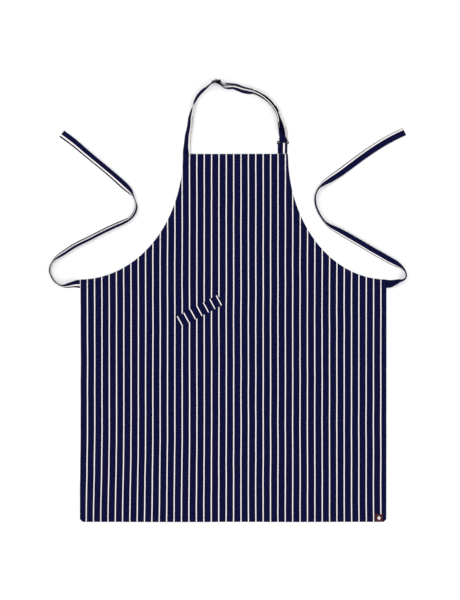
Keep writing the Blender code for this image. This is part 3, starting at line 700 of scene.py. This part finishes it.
def resample(stations, step):
    """A smooth line through the stations with a section about every step, and each station's place in it."""
    distances = [0.0]
    for (before, _), (after, _) in zip(stations, stations[1:]):
        distances.append(distances[-1] + (after - before).length)
    last = len(stations) - 1
    slopes = []
    for here in range(len(stations)):
        low, high = max(here - 1, 0), min(here + 1, last)
        run = distances[high] - distances[low]
        slopes.append([(stations[high][k] - stations[low][k]) / run for k in (0, 1)])
    line, places = [stations[0]], [0]
    for here in range(last):
        span = distances[here + 1] - distances[here]
        pieces = max(1, round(span / step))
        for part in range(1, pieces + 1):
            u = part / pieces
            near, far = (1 + 2 * u) * (1 - u) ** 2, u * u * (3 - 2 * u)
            leave, arrive = u * (1 - u) ** 2 * span, u * u * (u - 1) * span
            line.append(tuple(
                stations[here][k] * near + stations[here + 1][k] * far
                + slopes[here][k] * leave + slopes[here + 1][k] * arrive
                for k in (0, 1)
            ))
        places.append(len(line) - 1)
    return line, places


def section(width, thickness):
    """A folded tape's cross section, as (across, out of its face), drawn in along its two seams."""
    half, radius = width / 2, thickness / 2
    seam_at = half - SEAM_INSET
    across = [seam_at + 0.0007, seam_at, seam_at - 0.0009, half * 0.45, 0.0]
    across += [-a for a in reversed(across[:-1])]
    face = []
    for a in across:
        drawn = 1 - SEAM_DIMPLE * math.exp(-((abs(a) - seam_at) / 0.0006) ** 2)
        face.append((a, radius * drawn))
    edge = []
    for degrees in (60, 20, -20, -60):
        angle = math.radians(degrees)
        edge.append((half - radius + radius * math.cos(angle), radius * math.sin(angle)))
    left_edge = [(-a, b) for a, b in edge]
    return face + left_edge + [(a, -b) for a, b in reversed(face)] + edge[::-1]


class Tape:
    """A flat tape swept along stations, from which pieces of it are cut."""

    def __init__(self, stations, width, thickness, material, step=STEP, drift=(), swell=None):
        """drift is how far the stripes wander, as (station, mm). swell(place) multiplies the thickness."""
        self.width, self.material = width, material
        self.line, self.places = resample(stations, step)
        self.frames, self.walked = [], [0.0]
        for (middle, _), (following, _) in zip(self.line, self.line[1:]):
            self.walked.append(self.walked[-1] + (following - middle).length)
        for (middle, across), (before, after) in zip(self.line, neighbours(self.line)):
            heading = (after[0] - before[0]).normalized()
            side = (across - heading * across.dot(heading)).normalized()
            face = side.cross(heading).normalized()
            thick = thickness * (swell(middle) if swell else 1.0)
            lowest = middle.z - abs(side.z) * width / 2 - abs(face.z) * thick / 2
            self.frames.append((middle + UP * max(0.0, 0.0001 - lowest), side, face, thick))
        self.drift = [(self.walked[self.places[station]], shift / 1000) for station, shift in drift]

    def shift_at(self, walked):
        """How far the stripes have wandered to the right by this distance."""
        for (start, first), (end, second) in zip(self.drift, self.drift[1:]):
            if start <= walked <= end:
                return first + (second - first) * smooth(walked, start, end)
        return self.drift[-1][1] if self.drift else 0.0

    def stretch(self, first, last):
        """The sections from the first to the last, which is the tape's own last if it is None."""
        return range(first, len(self.line) if last is None else last + 1)

    def cut(self, name, first=0, last=None):
        """The stretch between two sections as a closed piece."""
        points, uvs = [], []
        for here in self.stretch(first, last):
            middle, side, face, thick = self.frames[here]
            puff = 1 + 0.10 * noise.noise(Vector((self.walked[here] * 90, 0.3, 7.7)))
            outline = section(self.width, thick * puff)
            for a, b in outline:
                points.append(middle + side * a + face * b)
                uvs.append((a + self.width / 2 - self.shift_at(self.walked[here]), self.walked[here]))
        faces = strip_faces(len(self.stretch(first, last)), len(outline))
        return build(name, points, faces, uvs, self.material, sharp=60)

    def seams(self, name, first=0, last=None, turns=(-1, 1)):
        """The two rows of stitches along the stretch, on its face (1), its back (-1) or both."""
        runs = []
        for way in (-1, 1):
            for turn in turns:
                line, outs = [], []
                for here in self.stretch(first, last):
                    middle, side, face, thick = self.frames[here]
                    inset = side * way * (self.width / 2 - SEAM_INSET)
                    line.append(middle + inset + face * turn * (thick / 2 - THREAD_SINK))
                    outs.append(face * turn)
                runs.append((line, outs))
        return stitches(name, runs)

    def length(self, first):
        return self.walked[-1] - self.walked[first]


def ties():
    """Each waist tie is a short twisting root, which bends from the apron, and the rest, which is free."""
    routes = {"left_tie": (LEFT_TIE, LEFT_TIE_DRIFT), "right_tie": (RIGHT_TIE, RIGHT_TIE_DRIFT)}
    for name, (route, drift) in routes.items():
        tape = Tape(lay(route, TIE_WIDTH, TIE_THICK), TIE_WIDTH, TIE_THICK, tie_cloth, drift=drift)
        split = tape.places[TIE_SPLIT]
        root = tape.cut(name + "_root", 0, split)
        root_seams = tape.seams(name + "_root_seams", 0, split)
        for piece in (root, root_seams):
            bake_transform(piece)
        free = tape.cut(name + "_tape", split)
        seams = tape.seams(name + "_seams", split)
        for piece in (free, seams):
            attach(piece, name)
        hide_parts(name)


def in_slider(points):
    """Stations of the strap on edge in the slider, from points in the frame's own plan."""
    places = [turned(point, SLIDER_AT, SLIDER_TURN) for point in points]
    return [(Vector((*place, SLIDER_LIFT + STRAP_WIDTH / 2)), UP) for place in places]


def round_ring_bar():
    """The strap turns up round the ring's far bar and comes back over it."""
    radius = RING_WIRE / 2 + SNUG + STRAP_THICK / 2
    stations = []
    for step in range(7):
        angle = -math.pi / 2 - math.pi * step / 6
        y, z = RING_FAR_Y + radius * math.cos(angle), RING_Z + radius * math.sin(angle)
        stations.append((Vector((RING_STRAP_X, y, z)), Vector((1, 0, 0))))
    return stations


def lifted_near_slider(stations):
    """Raises the strap to the slider's height within a short run of it."""
    raised = []
    for middle, across in stations:
        away = min(1.0, (middle.to_2d() - SLIDER_AT).length / SLIDER_RISE_RUN)
        raised.append((middle + UP * SLIDER_LIFT * (1 - smooth(away, 0, 1)), across))
    return raised


def back_from_ring():
    """Stations of the returning strap from the ring to where it joins the inner run."""
    rows = [(place, math.radians(turn)) for *place, turn in BACK_FROM_RING]
    return [(Vector(place), Vector((math.cos(angle), 0, math.sin(angle)))) for place, angle in rows]


def strap_swell(place):
    """The folded strap is pressed thin in the slider and round the ring, and thicker between."""
    ring = Vector((RING_STRAP_X, RING_FAR_Y))
    near = min((place.xy - SLIDER_AT).length, (place.xy - ring).length)
    return 1 + STRAP_SWELL * smooth(near, 0.016, 0.035)


def neck_strap():
    routes = (STRAP_LEFT, STRAP_OUTER, STRAP_INNER)
    left, outer, inner = (lifted_near_slider(lay(route, STRAP_WIDTH, STRAP_THICK)) for route in routes)
    runs = [left, in_slider(THROUGH_SLIDER), outer, round_ring_bar(), back_from_ring(), inner[::-1],
            in_slider(ROUND_MIDDLE_BAR)]
    starts = [sum(len(run) for run in runs[:k]) for k in range(len(runs))]
    stations = [station for run in runs for station in run]
    tape = Tape(stations, STRAP_WIDTH, STRAP_THICK, strap_cloth, 0.002, STRAP_DRIFT, strap_swell)
    _, slider_start, outer_start, _, _, inner_start, bar_start = starts
    marks = [0, 9, slider_start + 7, outer_start + 3, outer_start + 11, inner_start,
             bar_start - 3, len(stations) - 1]
    # Each piece's name, the body besides the loop's that it would bend with, and where that bend would start
    # and end. The bends are not made: a piece without such a body goes with the loop, and the others are
    # baked in place.
    bends = [
        ("strap_root", "apron", (0, 0.340, 0), (0, 0.355, 0)),
        ("strap_left_of_slider", "slider", (-0.0925, 0.452, 0), (-0.056, 0.497, 0)),
        ("strap_right_of_slider", "slider", (0.008, 0.499, 0), (-0.024, 0.503, 0)),
        ("strap_outer_run", None, None, None),
        ("strap_round_ring", "ring", (0.106, 0.430, 0), (0.1155, 0.382, 0)),
        ("strap_inner_run", None, None, None),
        ("strap_round_bar", "slider", (0.000, 0.494, 0), (-0.024, 0.497, 0)),
    ]
    for (name, other, start, end), first, last in zip(bends, marks, marks[1:]):
        pair = (tape.cut(name, tape.places[first], tape.places[last]),
                tape.seams(name + "_seams", tape.places[first], tape.places[last]))
        for piece in pair:
            if other is None:
                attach(piece, "neck_loop")
            elif other == "apron":
                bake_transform(piece)
            else:
                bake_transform(piece)
        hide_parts("neck_strap")


def sewn_end(name, x, y, out, width, cloth, shift):
    """The end of a tape between the hem and the cloth, from (x, y) out to where its tape starts."""
    route = [(x, y, 0), out]
    tape = Tape(lay(route, width, STRAP_THICK), width, STRAP_THICK, cloth, drift=[(0, shift)])
    fit(tape.cut(name + "_sewn_end"), "apron", name + "_end")


def sewn_ends():
    strap, left, right = STRAP_LEFT[0], LEFT_TIE[0], RIGHT_TIE[0]
    inner = {name: SEWN_ENDS[name][name == "left_tie"] for name in TAPE_NAMES}
    sewn_end("neck_strap", strap[0], inner["neck_strap"].y, strap, STRAP_WIDTH, strap_cloth, 0)
    sewn_end("ring_tab", TAB_X, inner["ring_tab"].y, (TAB_X, BIB_TOP_Y, 0), TAB_WIDTH, tab_cloth, 0)
    sewn_end("left_tie", inner["left_tie"].x, left[1], left, TIE_WIDTH, tie_cloth, LEFT_TIE_DRIFT[0][1])
    sewn_end("right_tie", inner["right_tie"].x, right[1], right, TIE_WIDTH, tie_cloth, RIGHT_TIE_DRIFT[0][1])


def ring_tab():
    """The doubled tab: out under the ring's near bar, round it and back over itself."""
    radius = RING_WIRE / 2 + SNUG + TAB_PLY / 2
    profile = list(TAB_LOWER)
    for step in range(9):
        angle = -math.pi / 2 + math.pi * step / 8
        profile.append((RING_NEAR_Y + radius * math.cos(angle), RING_Z + radius * math.sin(angle)))
    stations = [(Vector((TAB_X, y, z)), Vector((1, 0, 0))) for y, z in profile + TAB_UPPER]
    tape = Tape(stations, TAB_WIDTH, TAB_PLY, tab_cloth, step=STEP / 2)
    pair = (tape.cut("ring_tab_tape"), tape.seams("ring_tab_seams", turns=(1,)))
    for piece in pair:
        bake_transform(piece)
    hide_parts("ring_tab")


# ---- metal ----


def wire(name, path, normals, half_out, half_deep, body, node, square=1.0, bar=()):
    """A closed rod swept round a path: half_out along each normal, half_deep across it. A square below 1
    makes its section boxier. A bar is the line of an upright round rod inside it."""
    points, uvs, around = [], [], 14
    circle = [(math.cos(2 * math.pi * k / around), math.sin(2 * math.pi * k / around)) for k in range(around)]
    for here, (place, out) in enumerate(zip(path, normals)):
        heading = (path[(here + 1) % len(path)] - path[here - 1]).normalized()
        deep = heading.cross(out).normalized()
        for k, pair in enumerate(circle):
            spread = [math.copysign(abs(part) ** square, part) for part in pair]
            points.append(place + out * half_out * spread[0] + deep * half_deep * spread[1])
            uvs.append((k * 0.0005, here * 0.0008))
    faces = strip_faces(len(path), around, closed=True)
    start = len(points)
    for here, place in enumerate(bar):
        for k, pair in enumerate(circle):
            points.append(place + Vector((*pair, 0)) * MIDDLE_BAR / 2)
            uvs.append((k * 0.0005, here * 0.004))
    if bar:
        faces += [tuple(start + k for k in face) for face in strip_faces(len(bar), around)]
    fit(build(name, points, faces, uvs, metal, sharp=70), body, node)


def rounded_rectangle(half_x, half_y, corner):
    """The (point, outward normal) pairs round a rectangle with round corners, all in 2-D."""
    found, steps = [], 5
    for quarter, (side_x, side_y) in enumerate(((1, 1), (-1, 1), (-1, -1), (1, -1))):
        for step in range(steps + 1):
            angle = math.pi / 2 * (quarter + step / steps)
            out = (math.cos(angle), math.sin(angle))
            found.append(((side_x * (half_x - corner) + corner * out[0],
                           side_y * (half_y - corner) + corner * out[1]), out))
    return found


def strap_ring():
    """A rounded rectangle of round wire that lies flat."""
    half_x = (ring_high.x - ring_low.x - RING_WIRE) / 2
    half_y = (RING_FAR_Y - RING_NEAR_Y) / 2
    middle = (ring_low + ring_high) / 2
    outline = rounded_rectangle(half_x, half_y, RING_CORNER)
    path = [middle + Vector((*point, 0)) for point, _ in outline]
    normals = [Vector((*out, 0)) for _, out in outline]
    wire("ring_wire", path, normals, RING_WIRE / 2, RING_WIRE / 2, "ring", "strap_ring")


def slider():
    """An upright frame with a middle bar, set a little outwards of the middle of the strap."""
    half_x, half_z = SLIDER_LENGTH / 2 - SLIDER_BAR / 2, SLIDER_HEIGHT / 2 - SLIDER_BAR / 2
    along = Vector((math.cos(SLIDER_TURN), math.sin(SLIDER_TURN), 0))
    outwards = Vector((-along.y, along.x, 0))
    centre = Vector((*SLIDER_AT, SLIDER_HEIGHT / 2)) + outwards * SLIDER_SHIFT
    outline = rounded_rectangle(half_x, half_z, SLIDER_CORNER)
    path = [centre + along * x + UP * z for (x, z), _ in outline]
    normals = [along * x + UP * z for _, (x, z) in outline]
    foot = Vector((*SLIDER_AT, SLIDER_BAR / 2))
    bar = [foot + UP * (SLIDER_HEIGHT - SLIDER_BAR) * k / 8 for k in range(9)]
    wire("slider_frame", path, normals, SLIDER_BAR / 2, SLIDER_DEPTH / 2, "slider", "slider_buckle",
         square=0.75, bar=bar)


def strap_end():
    """The row of stitches that closes the strap round the slider's middle bar."""
    low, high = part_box("strap_end_stitching")
    middle = (low + high) / 2
    out = Vector((math.sin(SLIDER_TURN), -math.cos(SLIDER_TURN), 0))
    line = [Vector((middle.x, middle.y, z)) for z in (low.z, middle.z, high.z)]
    seam("strap_end_seam", "strap_end_stitching", [(line, [out] * len(line))], "slider")


# ---- the pocket and the label ----


def cuts(size, edge, step):
    """Places across a piece, with a narrow first and last stretch for its round edge."""
    count = max(2, round((size - 2 * edge) / step))
    inner = [-size / 2 + edge + (size - 2 * edge) * k / count for k in range(count + 1)]
    return [-size / 2, *inner, size / 2]


def slab(name, length, width, thickness, place, uv, material, node, step=0.003):
    """A thin cloth piece with round edges. place(a, b) gives its underside, a along it and b across."""
    along, across = cuts(length, thickness / 2, step), cuts(width, thickness / 2, step)
    points, uvs, top, low = [], [], {}, {}
    for i, a in enumerate(along):
        for j, b in enumerate(across):
            rim = i in (0, len(along) - 1) or j in (0, len(across) - 1)
            base = Vector(place(a, b))
            for layer, rise in ((top, 0.5),) if rim else ((top, 1.0), (low, 0.0)):
                layer[i, j] = len(points)
                points.append(base + UP * thickness * rise)
                uvs.append(uv(a, b))
            low.setdefault((i, j), top[i, j])
    faces = []
    for i in range(len(along) - 1):
        for j in range(len(across) - 1):
            corners = ((i, j), (i + 1, j), (i + 1, j + 1), (i, j + 1))
            faces.append(tuple(top[corner] for corner in corners))
            faces.append(tuple(low[corner] for corner in reversed(corners)))
    return fit(build(name, points, faces, uvs, material, sharp=80), "apron", node)


def on_pocket(a, b):
    return turned((a, b), POCKET, POCKET_TURN)


def welt_height(a, b):
    """The underside of the welt, whose free upper edge gapes a little between its tacks."""
    free = smooth(b, -WELT_WIDTH / 4, WELT_WIDTH / 2) * math.cos(math.pi * a / WELT_LENGTH) ** 2
    return face_height(*on_pocket(a, b)) + WELT_CLEAR + WELT_GAPE * free


def welt():
    shift = FIRST_STRIPE_X - WELT_STRIPE
    piece = slab("pocket_welt_cloth", WELT_LENGTH, WELT_WIDTH, WELT_THICK,
                 lambda a, b: (*on_pocket(a, b), welt_height(a, b)),
                 lambda a, b: (a + shift, b), panel_cloth, "pocket_welt")
    edge, end = WELT_WIDTH / 2 - 0.0025, WELT_LENGTH / 2 - 0.0016

    def run(corners):
        places = fine(corners, 0.003)
        line = [Vector((*on_pocket(a, b), welt_height(a, b) + WELT_THICK)) for a, b in places]
        return line, [UP] * len(line)

    made = [piece, seam("welt_seam", "welt_stitching", [run([(-end, -edge), (end, -edge)])])]
    for side, name in ((-1, "welt_left"), (1, "welt_right")):
        rows = [side * (end + row * TACK_ROW) for row in (-1, 1)]
        runs = [run([(x, -edge), (x, edge)]) for x in rows]
        made.append(seam(name + "_bar_tack", name + "_stitching", runs, pitch=BAR_TACK_PITCH))
    return made


def bag():
    """The two layers of the pocket bag under the panel, and the seam that joins them."""
    middle_x, half, tall = (bag_low.x + bag_high.x) / 2, (bag_high.x - bag_low.x) / 2, BAG_CUT[1]

    def on_bag(a, b, inset, drop, height):
        x = middle_x + a
        beside = max(0.0, abs(a) - (half - inset - BAG_CORNER))
        low = bag_low.y + inset + BAG_CORNER - math.sqrt(max(0.0, BAG_CORNER ** 2 - beside ** 2))
        return x, low + (bag_top(x) - drop - low) * (b / tall + 0.5), height

    made = []
    for layer, inset, drop, height in (("back", 0.0, 0.0016, 0.0001), ("front", 0.006, 0.0166, 0.0009)):
        def place(a, b, fit=(inset, drop, height)):
            return on_bag(a, b, *fit)

        made.append(slab("pocket_bag_" + layer + "_cloth", 2 * (half - inset), tall, BAG_PLY, place,
                         lambda a, b: (a, b), bag_cloth, "pocket_bag_" + layer, step=0.007))
    reach, top, bottom = half - BAG_SEAM_INSET, tall * 0.4, BAG_SEAM_INSET * 1.4 - tall / 2
    corners = [(-reach, top), (-reach, bottom), (reach, bottom), (reach, top)]
    line = [Vector(on_bag(a, b, 0.0, 0.0, BAG_SEAM_Z)) for a, b in fine(corners, 0.01)]
    seam("pocket_bag_seam", "pocket_bag_stitching", [(line, [UP] * len(line))])
    return made


def label():
    """A small woven label on the hem, with one corner lifting."""
    middle, half = (label_low + label_high) / 2, (label_high - label_low) / 2

    def place(a, b):
        curl = LABEL_CURL * smooth(a / half.x + b / half.y, 0.9, 2.0)
        x, y = middle.x + a, middle.y + b
        return x, y, face_height(x, y) + WELT_CLEAR + curl

    thick = label_high.z - label_low.z
    piece = slab("care_label_weave", 2 * half.x, 2 * half.y, thick, place,
                 lambda a, b: (a / half.x, b / half.y), label_cloth, "care_label", step=0.0015)
    reach_x, reach_y = half.x - LABEL_SEAM_INSET, half.y - LABEL_SEAM_INSET
    corners = [(-reach_x, reach_y), (-reach_x, -reach_y), (reach_x, -reach_y), (reach_x, reach_y)]
    line = [Vector(place(a, b)) + UP * thick for a, b in fine(corners, 0.002)]
    stitched = seam("label_seam", "label_stitching", [(line, [UP] * len(line))], material=thread_maroon,
                    length=0.0016, pitch=0.0022)
    return [piece, stitched]


# ---- stage ----

CAMERA_X, CAMERA_Y = -0.0073, 0.0016
VIEW_HEIGHT = 1.391         # of the table that the picture takes in
LENS = 85
SENSOR = 36
# Each lamp's name, place, size and power.
LAMPS = (("overhead", (-0.5, 0.5, 2.8), 2.4, 30), ("fill", (1.3, -1.5, 2.4), 2.2, 16))


def stage():
    scene = bpy.context.scene
    bpy.ops.mesh.primitive_plane_add(size=16, location=(0, 0, -0.0004))
    floor = bpy.context.object
    floor.name = "floor"
    look = Look("pale_floor", 0.9, specular=0.1)
    look.set("Base Color", (0.97, 0.97, 0.97, 1))
    floor.data.materials.append(look.material)

    world = bpy.data.worlds.new("studio")
    world.use_nodes = True
    background = world.node_tree.nodes["Background"]
    background.inputs["Color"].default_value = (1, 1, 1, 1)
    background.inputs["Strength"].default_value = 0.84
    scene.world = world
    for name, place, size, power in LAMPS:
        lamp = bpy.data.lights.new(name, "AREA")
        lamp.shape = "DISK"
        lamp.size = size
        lamp.energy = power
        light = bpy.data.objects.new(name, lamp)
        light.location = place
        light.rotation_euler = (-Vector(place)).to_track_quat("-Z", "Y").to_euler()
        scene.collection.objects.link(light)

    eye = bpy.data.cameras.new("camera")
    eye.lens = LENS
    eye.sensor_width = SENSOR
    camera = bpy.data.objects.new("camera", eye)
    camera.location = (CAMERA_X, CAMERA_Y, LENS / SENSOR * VIEW_HEIGHT)
    scene.collection.objects.link(camera)
    scene.camera = camera
    scene.view_settings.view_transform = "Standard"


stage()
panel = front_panel()
seams = hem_seams() + tack_seams()
sewn_ends()
ties()
neck_strap()
ring_tab()
strap_ring()
slider()
strap_end()
on_face = seams + welt() + label()
bag_back, bag_front = bag()
